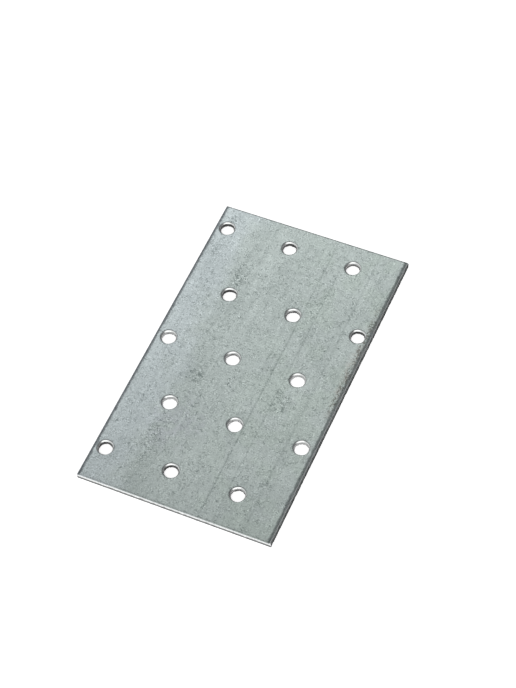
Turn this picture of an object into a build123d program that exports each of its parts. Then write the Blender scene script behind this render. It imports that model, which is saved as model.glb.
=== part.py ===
from build123d import *
from math import cos, radians, sin
import os

# A mending plate: one piece of galvanised sheet, slit to width, sheared to length and punched
# from the top with staggered nail holes. It lies flat, as it comes to rest.
# X runs across the plate, Y along it and Z up. The origin is the middle of the underside.
# All sizes are in millimetres.

# Sheet
sheet_thickness = 2.0

# Nail holes, set out from the left long edge and the near short edge
holes_in_row = 3
hole_pitch = 20.0
row_pitch = 20.0
near_row_margin = 10.6
side_margin = 4.0
far_row_margin = 7.7
# The last stroke of the punch came late, so the far row stands off by more than one pitch.
far_row_lag = 1.7
# How far each row strayed sideways in the press, from the near row to the far one
row_stray = (-0.4, -0.2, 0.1, 0.1, -0.3)

# Form of one punched hole, from the top down: deeply rolled-in mouth, straight bore, and a torn
# exit that flares out where the slug broke away. The slope is that of the mouth at its lip.
bore_diameter = 4.0
mouth_reach = 0.4
mouth_depth = 0.5
mouth_slope = 34.0
exit_height = 0.5
exit_widening = 0.3

# Form of the slit long edges
slit_roll_reach = 0.8
slit_roll_depth = 0.32
slit_torn_height = 0.7
slit_torn_set_back = 0.12

# Form of the sheared short edges
sheared_roll_reach = 0.45
sheared_roll_depth = 0.24
sheared_torn_height = 0.9
sheared_torn_set_back = 0.12

# Sizes that follow from those above
row_count = len(row_stray)
stagger = hole_pitch / 2
plate_width = 2 * side_margin + (2 * holes_in_row - 1) * stagger
plate_length = near_row_margin + (row_count - 1) * row_pitch + far_row_lag + far_row_margin
bore_radius = bore_diameter / 2
# How far the cutting solids run past the faces that they cut
overrun = 1.0


def rolled_section(plane, half_span, roll_reach, roll_depth, torn_height, torn_set_back):
    """Section of the sheet between two cut edges.

    Each top corner is rolled over by the cut: an arc leaves the top face and meets the straight
    land at a crease. The torn part below the land leans inwards to the underside.
    """
    right_side = (
        (half_span - torn_set_back, 0),
        (half_span, torn_height),
        (half_span, sheet_thickness - roll_depth),
    )
    left_side = tuple((-across, height) for across, height in reversed(right_side))
    flat_right = (half_span - roll_reach, sheet_thickness)
    flat_left = (roll_reach - half_span, sheet_thickness)
    with BuildSketch(plane) as section:
        with BuildLine():
            Polyline(*right_side)
            TangentArc(flat_right, right_side[-1], tangent=(1, 0))
            Line(flat_right, flat_left)
            TangentArc(flat_left, left_side[0], tangent=(-1, 0))
            Polyline(*left_side)
            Line(left_side[-1], right_side[0])
        make_face()
    return section.sketch


def blank():
    """The strip's section and the lengthwise section, each drawn out and kept where they meet."""
    across = rolled_section(
        Plane.XZ, plate_width / 2, slit_roll_reach, slit_roll_depth,
        slit_torn_height, slit_torn_set_back,
    )
    along = rolled_section(
        Plane.YZ, plate_length / 2, sheared_roll_reach, sheared_roll_depth,
        sheared_torn_height, sheared_torn_set_back,
    )
    strip = extrude(across, amount=plate_length / 2 + overrun, both=True)
    cut_length = extrude(along, amount=plate_width / 2 + overrun, both=True)
    return strip & cut_length


def punch():
    """The solid that one stroke of the punch leaves empty, standing on the underside."""
    exit_radius = bore_radius + exit_widening
    mouth_radius = bore_radius + mouth_reach
    inwards = (-cos(radians(mouth_slope)), -sin(radians(mouth_slope)))
    wall = (
        (0, -overrun),
        (exit_radius, -overrun),
        (exit_radius, 0),
        (bore_radius, exit_height),
        (bore_radius, sheet_thickness - mouth_depth),
    )
    cap = (
        (mouth_radius, sheet_thickness),
        (mouth_radius, sheet_thickness + overrun),
        (0, sheet_thickness + overrun),
        wall[0],
    )
    with BuildSketch(Plane.XZ) as half_section:
        with BuildLine():
            Polyline(*wall)
            TangentArc(cap[0], wall[-1], tangent=inwards)
            Polyline(*cap)
        make_face()
    return revolve(half_section.sketch, Axis.Z)


def hole_centres():
    """Centre of each hole: even rows start at the left margin, odd rows half a pitch further in."""
    first_across = side_margin - plate_width / 2
    first_along = near_row_margin - plate_length / 2
    centres = []
    for row, stray in enumerate(row_stray):
        lag = far_row_lag if row == row_count - 1 else 0
        along = first_along + row * row_pitch + lag
        row_start = first_across + stagger * (row % 2) + stray
        for column in range(holes_in_row):
            centres.append((row_start + column * hole_pitch, along))
    return centres


def mending_plate():
    """The blank with every hole punched through it."""
    stroke = punch()
    plate = blank()
    for across, along in hole_centres():
        plate -= Pos(across, along, 0) * stroke
    plate.label = "plate"
    return plate


os.makedirs("parts", exist_ok=True)
export_step(mending_plate(), "parts/plate.step")
print("width", plate_width, "length", plate_length, "thickness", sheet_thickness)
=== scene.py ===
import logging
import math
from dataclasses import dataclass, field, replace
from enum import Enum
from typing import Optional, Sequence, Union

import bpy
import numpy as np
from mathutils import Matrix, Vector


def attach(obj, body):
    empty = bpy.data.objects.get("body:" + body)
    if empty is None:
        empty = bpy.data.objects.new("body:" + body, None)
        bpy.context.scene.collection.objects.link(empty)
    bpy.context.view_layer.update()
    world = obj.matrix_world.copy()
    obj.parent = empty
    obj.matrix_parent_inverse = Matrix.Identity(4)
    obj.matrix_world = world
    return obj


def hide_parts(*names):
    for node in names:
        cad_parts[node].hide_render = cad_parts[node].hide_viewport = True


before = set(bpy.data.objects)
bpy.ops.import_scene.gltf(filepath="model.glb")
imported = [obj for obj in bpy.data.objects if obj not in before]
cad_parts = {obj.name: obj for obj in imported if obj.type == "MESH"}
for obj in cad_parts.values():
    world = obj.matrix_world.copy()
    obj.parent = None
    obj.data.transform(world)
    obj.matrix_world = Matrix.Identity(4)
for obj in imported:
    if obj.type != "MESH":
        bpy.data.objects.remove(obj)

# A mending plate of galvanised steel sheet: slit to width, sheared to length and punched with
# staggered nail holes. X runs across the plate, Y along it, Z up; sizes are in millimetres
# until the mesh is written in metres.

LOG = logging.getLogger("mending_plate")
METRES_PER_MM = 0.001
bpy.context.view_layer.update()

Socket = bpy.types.NodeSocket
Value = Union[Socket, float, tuple]
Colour = tuple[float, float, float, float]
Range = tuple[float, float]
Waves = tuple[int, int]
Triple = tuple[float, float, float]
Inputs = dict[Union[str, int], Value]
Outputs = bpy.types.bpy_prop_collection
Marks = list[tuple[Socket, Colour]]


class Finish(Enum):
    """The finish that a face of the plate takes. The value is its material slot."""

    ZINC_FACE = 0
    PUNCHED_STEEL = 1
    SHEARED_STEEL = 2
    SLIT_STEEL = 3


class Side(Enum):
    """The four sides in the perimeter's order: the axis that crosses each, and its sign there."""

    NEAR = (1, -1.0)
    RIGHT = (0, 1.0)
    FAR = (1, 1.0)
    LEFT = (0, -1.0)


def link(thing: bpy.types.Object) -> bpy.types.Object:
    """Puts an object into the scene. Returns it."""
    bpy.context.scene.collection.objects.link(thing)
    return thing


# Geometry

@dataclass(frozen=True)
class Ripple:
    """Repeatable irregularity round a closed line, made of cosines with seeded phases."""

    seed: int
    slowest: int
    fastest: int
    drift: float = 0.0
    least_weight: float = 0.3

    def along(self, turn: np.ndarray, level: float = 0.0) -> np.ndarray:
        """Sum of w cos(2 pi k turn + phase + drift level) over the wave counts k.

        Args:
            turn: Place on the line, from 0 to 1 once round.
            level: Height on the wall. The phases drift with it, each wave at its own rate.

        Returns:
            The sum at each place, scaled to a spread of about 1.
        """
        rng = np.random.default_rng(self.seed)
        waves = np.arange(self.slowest, self.fastest + 1)
        phase = rng.uniform(0.0, 2.0 * np.pi, waves.size)
        weight = rng.uniform(self.least_weight, 1.0, waves.size)
        rate = rng.normal(0.0, 1.0, waves.size) * self.drift
        angle = 2.0 * np.pi * waves[:, None] * turn[None, :] + (phase + rate * level)[:, None]
        total = (weight[:, None] * np.cos(angle)).sum(axis=0)
        return total / math.sqrt(0.5 * float((weight ** 2).sum()))


class MeshDraft:
    """One closed surface on its way to Blender: points, two masks and faces with a finish."""

    def __init__(self) -> None:
        """Starts with nothing in it."""
        self.points: list[np.ndarray] = []
        self.rolled: list[np.ndarray] = []
        self.torn: list[np.ndarray] = []
        self.faces: list[tuple[np.ndarray, Finish]] = []
        self.count = 0

    def add_points(
        self, points: np.ndarray, rolled: Union[np.ndarray, float] = 0.0,
        torn: Union[np.ndarray, float] = 0.0,
    ) -> np.ndarray:
        """Adds points to the surface.

        Args:
            points: Array whose last axis is X, Y and Z.
            rolled: How far each point lies in a rolled-over zone, from 0 to 1.
            torn: How far each point lies in a torn zone, from 0 to 1.

        Returns:
            The points' numbers, in the shape of the array without its last axis.
        """
        shape = points.shape[:-1]
        size = int(np.prod(shape))
        self.points.append(points.reshape(-1, 3))
        self.rolled.append(np.broadcast_to(rolled, shape).reshape(-1))
        self.torn.append(np.broadcast_to(torn, shape).reshape(-1))
        numbers = np.arange(self.count, self.count + size).reshape(shape)
        self.count += size
        return numbers

    def add_faces(self, faces: np.ndarray, finish: Finish) -> None:
        """Adds an (n, 3) or (n, 4) array of faces in one finish."""
        self.faces.append((faces, finish))

    def quads(self, first: np.ndarray, second: np.ndarray) -> np.ndarray:
        """The quads between two closed loops of the same length."""
        return np.stack([first, np.roll(first, -1), np.roll(second, -1), second], axis=1)

    def strip(self, first: np.ndarray, second: np.ndarray, finish: Finish) -> None:
        """Adds the quads between two closed loops in one finish."""
        self.add_faces(self.quads(first, second), finish)

    def widen(self, loop: np.ndarray, double: np.ndarray, finish: Finish) -> None:
        """Adds three triangles a step from a loop to one with twice its points."""
        even, odd, after = double[0::2], double[1::2], np.roll(double[0::2], -1)
        ahead = np.roll(loop, -1)
        for corners in ((loop, ahead, odd), (ahead, after, odd), (loop, odd, even)):
            self.add_faces(np.stack(corners, axis=1), finish)

    def narrow(self, double: np.ndarray, loop: np.ndarray, finish: Finish) -> None:
        """Adds three triangles a step from a loop to one with half its points."""
        even, odd, after = double[0::2], double[1::2], np.roll(double[0::2], -1)
        ahead = np.roll(loop, -1)
        for corners in ((even, odd, loop), (odd, ahead, loop), (odd, after, ahead)):
            self.add_faces(np.stack(corners, axis=1), finish)

    def from_hole(
        self, flat: np.ndarray, hole_centres: np.ndarray, near_hole: float
    ) -> np.ndarray:
        """Where each point lies from its nearest hole.

        Args:
            flat: X and Y of the points.
            hole_centres: X and Y of the holes.
            near_hole: Distance up to which a point counts as near a hole.

        Returns:
            For each point the way across and along from the hole's axis, and 1 if it is near.
        """
        away = flat[:, None, :] - hole_centres[None, :, :]
        distance = np.hypot(away[..., 0], away[..., 1])
        nearest = distance.argmin(axis=1)
        everyone = np.arange(len(flat))
        near = distance[everyone, nearest] < near_hole
        return np.column_stack([away[everyone, nearest], near]).astype(np.float32)

    def to_mesh(
        self, name: str, crease_angle: float, hole_centres: np.ndarray, near_hole: float
    ) -> bpy.types.Mesh:
        """Writes the surface into a mesh, in metres, without the points that no face uses.

        Args:
            name: Name of the mesh.
            crease_angle: Edges that turn by more than this many radians are shaded sharp.
            hole_centres: X and Y of the holes.
            near_hole: Distance up to which a point counts as near a hole.

        Returns:
            The mesh, with the masks as point attributes and a material slot on each face.
        """
        corners = np.concatenate([faces.reshape(-1) for faces, _ in self.faces])
        used, corners = np.unique(corners, return_inverse=True)
        sizes = np.concatenate([np.full(len(f), f.shape[1]) for f, _ in self.faces])
        slots = np.concatenate([np.full(len(f), kind.value) for f, kind in self.faces])
        starts = np.concatenate([[0], np.cumsum(sizes)[:-1]])
        points = np.concatenate(self.points)[used]
        mesh = bpy.data.meshes.new(name)
        mesh.vertices.add(len(points))
        metres = (points * METRES_PER_MM).astype(np.float32)
        mesh.vertices.foreach_set("co", metres.reshape(-1))
        mesh.loops.add(len(corners))
        mesh.loops.foreach_set("vertex_index", corners.astype(np.int32))
        mesh.polygons.add(len(sizes))
        mesh.polygons.foreach_set("loop_start", starts.astype(np.int32))
        mesh.polygons.foreach_set("material_index", slots.astype(np.int32))
        mesh.polygons.foreach_set("use_smooth", np.ones(len(sizes), dtype=bool))
        mesh.update(calc_edges=True)
        for label, mask in (("rolled", self.rolled), ("torn", self.torn)):
            layer = mesh.attributes.new(label, "FLOAT", "POINT")
            layer.data.foreach_set("value", np.concatenate(mask)[used].astype(np.float32))
        away = self.from_hole(points[:, :2], hole_centres, near_hole)
        layer = mesh.attributes.new("from_hole", "FLOAT_VECTOR", "POINT")
        layer.data.foreach_set("vector", away.reshape(-1))
        mesh.set_sharp_from_angle(angle=crease_angle)
        return mesh


@dataclass(frozen=True)
class CutEdge:
    """Form of a slit or sheared edge: rolled-over top, straight land, torn lower part."""

    roll_reach: float
    roll_depth: float
    torn_height: float
    torn_set_back: float
    roll_wander: float
    torn_wander: float
    roughness: float
    roll_mark: float
    roll_lines: int = 9

    def line_distances(self) -> np.ndarray:
        """Distances of the rollover's grid lines from the edge, even from 0 to the reach."""
        return np.linspace(0.0, self.roll_reach, self.roll_lines)

    def drop(self, distance: np.ndarray, wander: np.ndarray) -> tuple[np.ndarray, np.ndarray]:
        """Arc of the rollover: r - sqrt(r r - s s), with s the way run in from the flat.

        The arc leaves the flat level, and its radius r = (reach reach + depth depth) / 2 depth
        brings it down by the depth at the edge.

        Args:
            distance: Distance from the edge.
            wander: Irregularity of the reach at each place, of spread 1.

        Returns:
            How far the top face drops, and the share of the reach run as the rolled mask.
        """
        reach = self.roll_reach * (1.0 - self.roll_wander * (0.5 + 0.5 * np.tanh(wander)))
        inside = np.clip(1.0 - distance / reach, 0.0, 1.0)
        radius = (reach ** 2 + self.roll_depth ** 2) / (2.0 * self.roll_depth)
        drop = radius - np.sqrt(radius ** 2 - (inside * reach) ** 2)
        return drop, inside * self.roll_mark


@dataclass(frozen=True)
class PunchedHole:
    """Form of one punched hole: dished face, rolled-in mouth, straight bore and torn exit."""

    bore_radius: float = 2.0
    mouth_reach: float = 0.4
    mouth_depth: float = 0.46
    lip_slope: float = math.radians(34.0)
    dish_reach: float = 0.36
    dish_depth: float = 0.035
    exit_height: float = 0.5
    exit_widening: float = 0.3
    points_round: int = 96
    dish_rows: int = 4
    mouth_rows: int = 8
    bore_rows: int = 6
    torn_rows: int = 5
    out_of_round: float = 0.012
    round_waves: Waves = (2, 5)
    # The line below which the bore is torn
    scar_height: float = 1.0
    scar_wander: float = 0.14
    scar_blur: float = 0.12
    line_waves: Waves = (1, 9)
    # The rough surface below it
    scar_depth: float = 0.05
    scar_waves: Waves = (5, 34)
    scar_drift: float = 4.0
    # The lip of metal that stands in from it: where on the turn, how wide, how deep
    tongue_place: Range = (0.42, 0.66)
    tongue_width: Range = (0.03, 0.07)
    tongue_depth: float = 0.12
    tongue_fade: float = 0.3
    # How strongly a hole that tore little shows as torn, and how fast that grows with the tear
    weak_mark: float = 0.3
    mark_gain: float = 1.6

    @property
    def rim_radius(self) -> float:
        """Radius at which the dish leaves the top face."""
        return self.bore_radius + self.mouth_reach + self.dish_reach

    def angles(self) -> np.ndarray:
        """Angles round the hole, from its near left corner anticlockwise."""
        return -0.75 * math.pi + 2.0 * math.pi * np.arange(self.points_round) / self.points_round

    def mouth_profile(self, sheet: float) -> tuple[np.ndarray, np.ndarray]:
        """Dish and mouth: a shallow parabola in to the lip, and an arc from there to the bore.

        The dish falls by d s s, with s from 0 at its rim to 1 at the lip. The arc has the slope
        of the lip at its top and ends at the bore, so its slope grows evenly along it.

        Args:
            sheet: Thickness of the sheet.

        Returns:
            Radius and height of each row, from the rim to the bore.
        """
        share = np.linspace(0.0, 1.0, self.dish_rows + 1)[:-1]
        lip = self.bore_radius + self.mouth_reach
        dish_radius = self.rim_radius - self.dish_reach * share
        dish_height = sheet - self.dish_depth * share ** 2
        fall = self.mouth_depth - self.dish_depth
        chord = math.atan2(fall, self.mouth_reach)
        bend = 2.0 * (chord - self.lip_slope)
        slope = self.lip_slope + bend * np.linspace(0.0, 1.0, self.mouth_rows)
        arc = math.hypot(self.mouth_reach, fall) / (2.0 * math.sin(bend / 2.0))
        radius = lip - arc * (np.sin(slope) - math.sin(self.lip_slope))
        height = sheet - self.dish_depth - arc * (math.cos(self.lip_slope) - np.cos(slope))
        return np.concatenate([dish_radius, radius]), np.concatenate([dish_height, height])

    def wall(self, sheet: float, tear: float, seed: int) -> dict[str, np.ndarray]:
        """The wall from the top face to the underside, as rows of points round the hole.

        Dish and mouth come from their profile, the bore stands upright, and the exit flares out
        where the slug broke away. Below a scar line of wandering height the bore is torn: its
        radius gains a seeded roughness and one lip of metal stands in from it.

        Args:
            sheet: Thickness of the sheet.
            tear: How strongly this hole tore, from 0 to about 1.
            seed: Seed of this hole's irregularities.

        Returns:
            Arrays "radius", "height", "rolled" and "torn", each of rows by points.
        """
        turn = np.arange(self.points_round) / self.points_round
        shape = 1.0 + self.out_of_round * Ripple(seed, *self.round_waves).along(turn)
        mouth_radius, mouth_height = self.mouth_profile(sheet)
        bore_top = sheet - self.mouth_depth
        fall = np.linspace(0.0, 1.0, self.bore_rows + 1)[1:]
        bore_height = bore_top + (self.exit_height - bore_top) * fall
        flare = np.linspace(0.0, 1.0, self.torn_rows + 1)[1:]
        torn_height = self.exit_height * (1.0 - flare)
        radius = np.concatenate([
            mouth_radius, self.bore_radius + 0.0 * fall,
            self.bore_radius + self.exit_widening * flare,
        ])[:, None] * shape
        height = np.concatenate([mouth_height, bore_height, torn_height])[:, None] + 0.0 * turn
        scar = self.scar_height + (bore_top - self.scar_height) * np.clip(
            tear + self.scar_wander * Ripple(seed + 1, *self.line_waves).along(turn), -1.0, 1.0
        )
        torn = np.clip((scar - height) / self.scar_blur + 0.5, 0.0, 1.0)
        strong = np.clip(self.mark_gain * tear, 0.0, 1.0)
        mark = self.weak_mark + (1.0 - self.weak_mark) * strong
        rng = np.random.default_rng(seed + 2)
        middle, width = rng.uniform(*self.tongue_place), rng.uniform(*self.tongue_width)
        tongue = np.exp(-(((turn - middle) / width) ** 2)) * self.tongue_depth
        rough = Ripple(seed + 3, *self.scar_waves, drift=self.scar_drift)
        scars = np.stack([rough.along(turn, level) for level in height[:, 0]])
        depth = (self.exit_height + self.tongue_fade - height) / self.tongue_fade
        depth = np.clip(depth, 0.0, 1.0)
        radius = radius + self.scar_depth * torn * scars - tongue * tear * depth * torn
        on_mouth = np.zeros(len(radius))
        on_mouth[self.dish_rows + 1:self.dish_rows + self.mouth_rows - 1] = 1.0
        rolled = on_mouth[:, None] + 0.0 * turn
        return {"radius": radius, "height": height, "rolled": rolled, "torn": torn * mark}


@dataclass
class PerforatedSheet:
    """The plate's sheet: a grid on both faces, an open block round each hole, and its walls."""

    name: str = "perforated_sheet"
    node: str = "plate"
    body: str = "root"
    finish_slot: str = "galvanised_steel"
    width: float = 58.0
    length: float = 100.0
    thickness: float = 2.0
    holes_in_row: int = 3
    hole_pitch: float = 20.0
    row_pitch: float = 20.0
    near_row_margin: float = 10.6
    side_margin: float = 4.0
    far_row_lag: float = 1.7
    row_stray: Sequence[float] = (-0.4, -0.2, 0.1, 0.1, -0.3)
    # How strongly each hole tore, row by row from the near one
    row_tears: Sequence[Sequence[float]] = (
        (0.9, 0.95, 0.3), (-0.3, 0.1, 0.0), (0.1, 0.2, -0.2), (0.95, 0.3, 0.9),
        (1.0, 0.8, 0.3),
    )
    hole: PunchedHole = field(default_factory=PunchedHole)
    slit: CutEdge = field(default_factory=lambda: CutEdge(
        roll_reach=0.8, roll_depth=0.32, torn_height=0.7, torn_set_back=0.05,
        roll_wander=0.3, torn_wander=0.22, roughness=0.035, roll_mark=1.0,
    ))
    sheared: CutEdge = field(default_factory=lambda: CutEdge(
        roll_reach=0.45, roll_depth=0.24, torn_height=1.0, torn_set_back=0.02,
        roll_wander=0.2, torn_wander=0.08, roughness=0.015, roll_mark=0.3,
    ))
    # The far end was cut by a sharper blade, so its corner rolled over less
    far_roll_reach: float = 0.28
    far_roll_depth: float = 0.08
    block_half: float = 3.2
    block_cells: int = 12
    grid_step: float = 0.53
    least_gap: float = 0.005
    land_rows: int = 3
    torn_rows: int = 6
    roll_waves: Waves = (30, 240)
    fracture_waves: Waves = (20, 260)
    torn_waves: Waves = (40, 300)
    torn_drift: float = 2.5
    # Heights that the wandering fracture line leaves to the torn part and to the land
    least_torn: float = 0.2
    least_land: float = 0.25
    # Points over which the roughness fades out towards a corner
    corner_points: float = 4.0
    waviness: float = 0.012
    wave_across: float = 23.0
    wave_along: float = 41.0
    wave_shift: float = 0.2
    wave_bend: float = 0.13
    wave_bend_step: float = 17.0
    corner_sharpness: float = 4.0
    crease_angle: float = math.radians(32.0)
    near_hole: float = 4.9
    seed: int = 41
    # The grid: its lines, the line that each block starts at, and the sides' places
    across: np.ndarray = field(init=False)
    along: np.ndarray = field(init=False)
    column_starts: list[int] = field(init=False)
    row_starts: list[int] = field(init=False)
    turns: dict[Side, np.ndarray] = field(init=False)

    def __post_init__(self) -> None:
        """Lays out the grid lines, and the place of each on the perimeter, from 0 to 1."""
        columns = [self.block_across(block) for block in range(2 * self.holes_in_row)]
        rows = [self.row_along(row) for row in range(len(self.row_stray))]
        self.across, self.column_starts = self.grid_lines(self.width, self.slit, columns)
        self.along, self.row_starts = self.grid_lines(self.length, self.sheared, rows)
        round_trip = 2.0 * (self.width + self.length)
        x_run, y_run = self.across + self.width / 2, self.along + self.length / 2
        self.turns = {
            Side.NEAR: x_run / round_trip,
            Side.RIGHT: (self.width + y_run) / round_trip,
            Side.FAR: (2.0 * self.width + self.length - x_run) / round_trip,
            Side.LEFT: (round_trip - y_run) / round_trip,
        }

    def hole_centres(self) -> list[tuple[int, int, float, float]]:
        """Row, block column, X and Y of each hole, from the near left one."""
        centres = []
        for row, stray in enumerate(self.row_stray):
            for column in range(self.holes_in_row):
                block = 2 * column + row % 2
                across = self.block_across(block) + stray
                centres.append((row, block, across, self.row_along(row)))
        return centres

    def block_across(self, block: int) -> float:
        """X of a block's middle, before its row's stray."""
        return self.side_margin - self.width / 2 + block * self.hole_pitch / 2

    def row_along(self, row: int) -> float:
        """Y of a row of holes. The last row lags."""
        lag = self.far_row_lag if row == len(self.row_stray) - 1 else 0.0
        return self.near_row_margin - self.length / 2 + row * self.row_pitch + lag

    def even_run(self, start: float, end: float) -> np.ndarray:
        """Evenly spaced lines from start to end, without the first, none if there is no room."""
        if end - start < self.least_gap:
            return np.empty(0)
        cells = max(1, round((end - start) / self.grid_step))
        return np.linspace(start, end, cells + 1)[1:]

    def grid_lines(
        self, span: float, edge: CutEdge, block_middles: Sequence[float]
    ) -> tuple[np.ndarray, list[int]]:
        """Grid lines in one direction: fine in the two rollovers, even in the blocks and gaps.

        Args:
            span: Whole width or length.
            edge: The edge that the lines begin and end at.
            block_middles: Middles of the hole blocks in this direction.

        Returns:
            The lines, and the number of the line that each block starts at.
        """
        border = edge.line_distances()
        runs = [border - span / 2]
        starts = []
        for middle in block_middles:
            runs.append(self.even_run(float(runs[-1][-1]), middle - self.block_half))
            if not len(runs[-1]):
                runs.pop()
            starts.append(sum(len(run) for run in runs) - 1)
            block = np.linspace(-self.block_half, self.block_half, self.block_cells + 1)
            runs.append(middle + block[1:])
        last_gap = self.even_run(float(runs[-1][-1]), span / 2 - border[-1])
        if len(last_gap):
            runs.append(last_gap)
        runs.append(span / 2 - border[-2::-1])
        return np.concatenate(runs), starts

    def perimeter(self, grid: np.ndarray) -> np.ndarray:
        """The grid's outermost values once round, from the near left corner anticlockwise."""
        return np.concatenate([grid[0, :-1], grid[:-1, -1], grid[-1, :0:-1], grid[:0:-1, 0]])

    def once_round(self, values: dict[Side, np.ndarray]) -> np.ndarray:
        """The values at the grid lines of the four sides, joined in the perimeter's order."""
        return np.concatenate([
            values[Side.NEAR][:-1], values[Side.RIGHT][:-1],
            values[Side.FAR][:0:-1], values[Side.LEFT][:0:-1],
        ])

    def edge(self, side: Side) -> CutEdge:
        """Form of a side's edge: slit on the long sides, sheared on the short ones."""
        return self.sheared if side in (Side.NEAR, Side.FAR) else self.slit

    def inset(self, side: Side, spots: Sequence[np.ndarray]) -> np.ndarray:
        """How far points, given as their X and Y, lie in from a side."""
        axis, sign = side.value
        return (self.width, self.length)[axis] / 2 - sign * spots[axis]

    def on_grid(self, side: Side, values: np.ndarray) -> np.ndarray:
        """Values at a side's grid lines, turned so that they spread over the whole grid."""
        return values[None, :] if side in (Side.NEAR, Side.FAR) else values[:, None]

    def top_height(self, spots: Sequence[np.ndarray]) -> tuple[np.ndarray, np.ndarray]:
        """Top face of the grid: thickness less the rollovers' joint drop and a slight waviness.

        The two directions' drops join as the fourth root of the sum of their fourth powers, so a
        corner dips a little more than either edge.

        Args:
            spots: X and Y of the grid's points.

        Returns:
            Height of each point, and the rolled mask.
        """
        ripple = Ripple(self.seed, *self.roll_waves)
        edges = {side: self.edge(side) for side in Side}
        edges[Side.FAR] = replace(
            self.sheared, roll_reach=self.far_roll_reach, roll_depth=self.far_roll_depth
        )
        drops, masks = [], []
        for side, edge in edges.items():
            wander = self.on_grid(side, ripple.along(self.turns[side]))
            drop, mask = edge.drop(self.inset(side, spots), wander)
            drops.append(drop)
            masks.append(mask)
        power = self.corner_sharpness
        drop = sum(each ** power for each in drops) ** (1.0 / power)
        return self.thickness - drop - self.wave(*spots), np.max(masks, axis=0)

    def wave(self, x: np.ndarray, y: np.ndarray) -> np.ndarray:
        """Sheet waviness: product of slow cosines across and along, from 0 down to waviness."""
        bend = self.wave_bend * np.sin(y / self.wave_bend_step)
        across = np.cos(2.0 * math.pi * (x / self.wave_across + bend))
        along = np.cos(2.0 * math.pi * (y / self.wave_along + self.wave_shift))
        return self.waviness * (0.5 + 0.25 * across + 0.25 * along)

    def tear_depth(self, turn: np.ndarray, share: float, edge: CutEdge) -> np.ndarray:
        """Inward roughness of an edge's torn part: the spread's absolute value, nil at the top.

        Args:
            turn: Place on the perimeter.
            share: From 0 at the fracture line to 1 at the underside.
            edge: The edge it belongs to.

        Returns:
            Depth at each place, brought to nil at the two ends of the side.
        """
        ripple = Ripple(self.seed + 5, *self.torn_waves, drift=self.torn_drift)
        rough = np.abs(ripple.along(turn, share))
        ends = np.minimum(np.arange(turn.size), np.arange(turn.size)[::-1]) / self.corner_points
        return edge.roughness * min(2.0 * share, 1.0) * rough * np.clip(ends, 0.0, 1.0)

    def set_back(self, spots: Sequence[np.ndarray], share: float) -> list[np.ndarray]:
        """The points drawn in towards the middle by a share of the torn parts' set-back."""
        return [
            spots[0] * (1.0 - 2.0 * self.slit.torn_set_back * share / self.width),
            spots[1] * (1.0 - 2.0 * self.sheared.torn_set_back * share / self.length),
        ]

    def add_grids(
        self, draft: MeshDraft, open_cells: np.ndarray
    ) -> tuple[np.ndarray, np.ndarray]:
        """Lays the top face and the underside, leaving the hole blocks open.

        Args:
            draft: The surface that they are added to.
            open_cells: True for each grid cell that a hole's block takes.

        Returns:
            The numbers of the top face's points and of the underside's.
        """
        spots = np.meshgrid(self.across, self.along)
        height, rolled = self.top_height(spots)
        top = draft.add_points(np.stack([*spots, height], axis=-1), rolled=rolled)
        below = self.set_back(spots, 1.0)
        for side in Side:
            axis, sign = side.value
            edge = self.edge(side)
            depth = self.on_grid(side, self.tear_depth(self.turns[side], 1.0, edge))
            fade = np.clip(1.0 - self.inset(side, spots) / edge.roll_reach, 0.0, 1.0)
            below[axis] = below[axis] - sign * depth * fade
        under = draft.add_points(np.stack([*below, 0.0 * spots[0]], axis=-1))
        for grid, order in ((top, (0, 1, 2, 3)), (under, (0, 3, 2, 1))):
            corners = [grid[:-1, :-1], grid[:-1, 1:], grid[1:, 1:], grid[1:, :-1]]
            quads = np.stack([corners[number] for number in order], axis=-1)
            draft.add_faces(quads[~open_cells], Finish.ZINC_FACE)
        return top, under

    def add_hole(
        self, draft: MeshDraft, loops: tuple[np.ndarray, np.ndarray],
        centre: tuple[float, float], tear: float, seed: int,
    ) -> None:
        """Closes one block with a punched hole.

        The top face runs from the block's square loop over a middle loop, halfway to the circle,
        to the mouth; the wall goes down; and the underside runs back out the same way.

        Args:
            draft: The surface that it is added to.
            loops: Numbers of the block's outer points on the top face and on the underside.
            centre: X and Y of the hole.
            tear: How strongly this hole tore.
            seed: Seed of its irregularities.
        """
        laid = np.concatenate(draft.points)
        angle = self.hole.angles()
        direction = np.stack([np.cos(angle), np.sin(angle)], axis=-1)
        wall = self.hole.wall(self.thickness, tear, seed)
        level = self.wave(np.array(centre[0]), np.array(centre[1]))
        sink = level * np.clip(wall["height"] / self.thickness, 0.0, 1.0)
        flat = np.array(centre) + wall["radius"][..., None] * direction
        points = np.concatenate([flat, (wall["height"] - sink)[..., None]], axis=-1)
        rows = draft.add_points(points, rolled=wall["rolled"], torn=wall["torn"])
        middle_top = draft.add_points(0.5 * (laid[loops[0]] + points[0, 0::2]))
        middle_under = draft.add_points(0.5 * (laid[loops[1]] + points[-1, 0::2]))
        draft.strip(loops[0], middle_top, Finish.ZINC_FACE)
        draft.widen(middle_top, rows[0], Finish.ZINC_FACE)
        for number in range(len(rows) - 1):
            on_dish = number < self.hole.dish_rows
            kind = Finish.ZINC_FACE if on_dish else Finish.PUNCHED_STEEL
            draft.strip(rows[number], rows[number + 1], kind)
        draft.narrow(rows[-1], middle_under, Finish.ZINC_FACE)
        draft.strip(middle_under, loops[1], Finish.ZINC_FACE)

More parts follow.
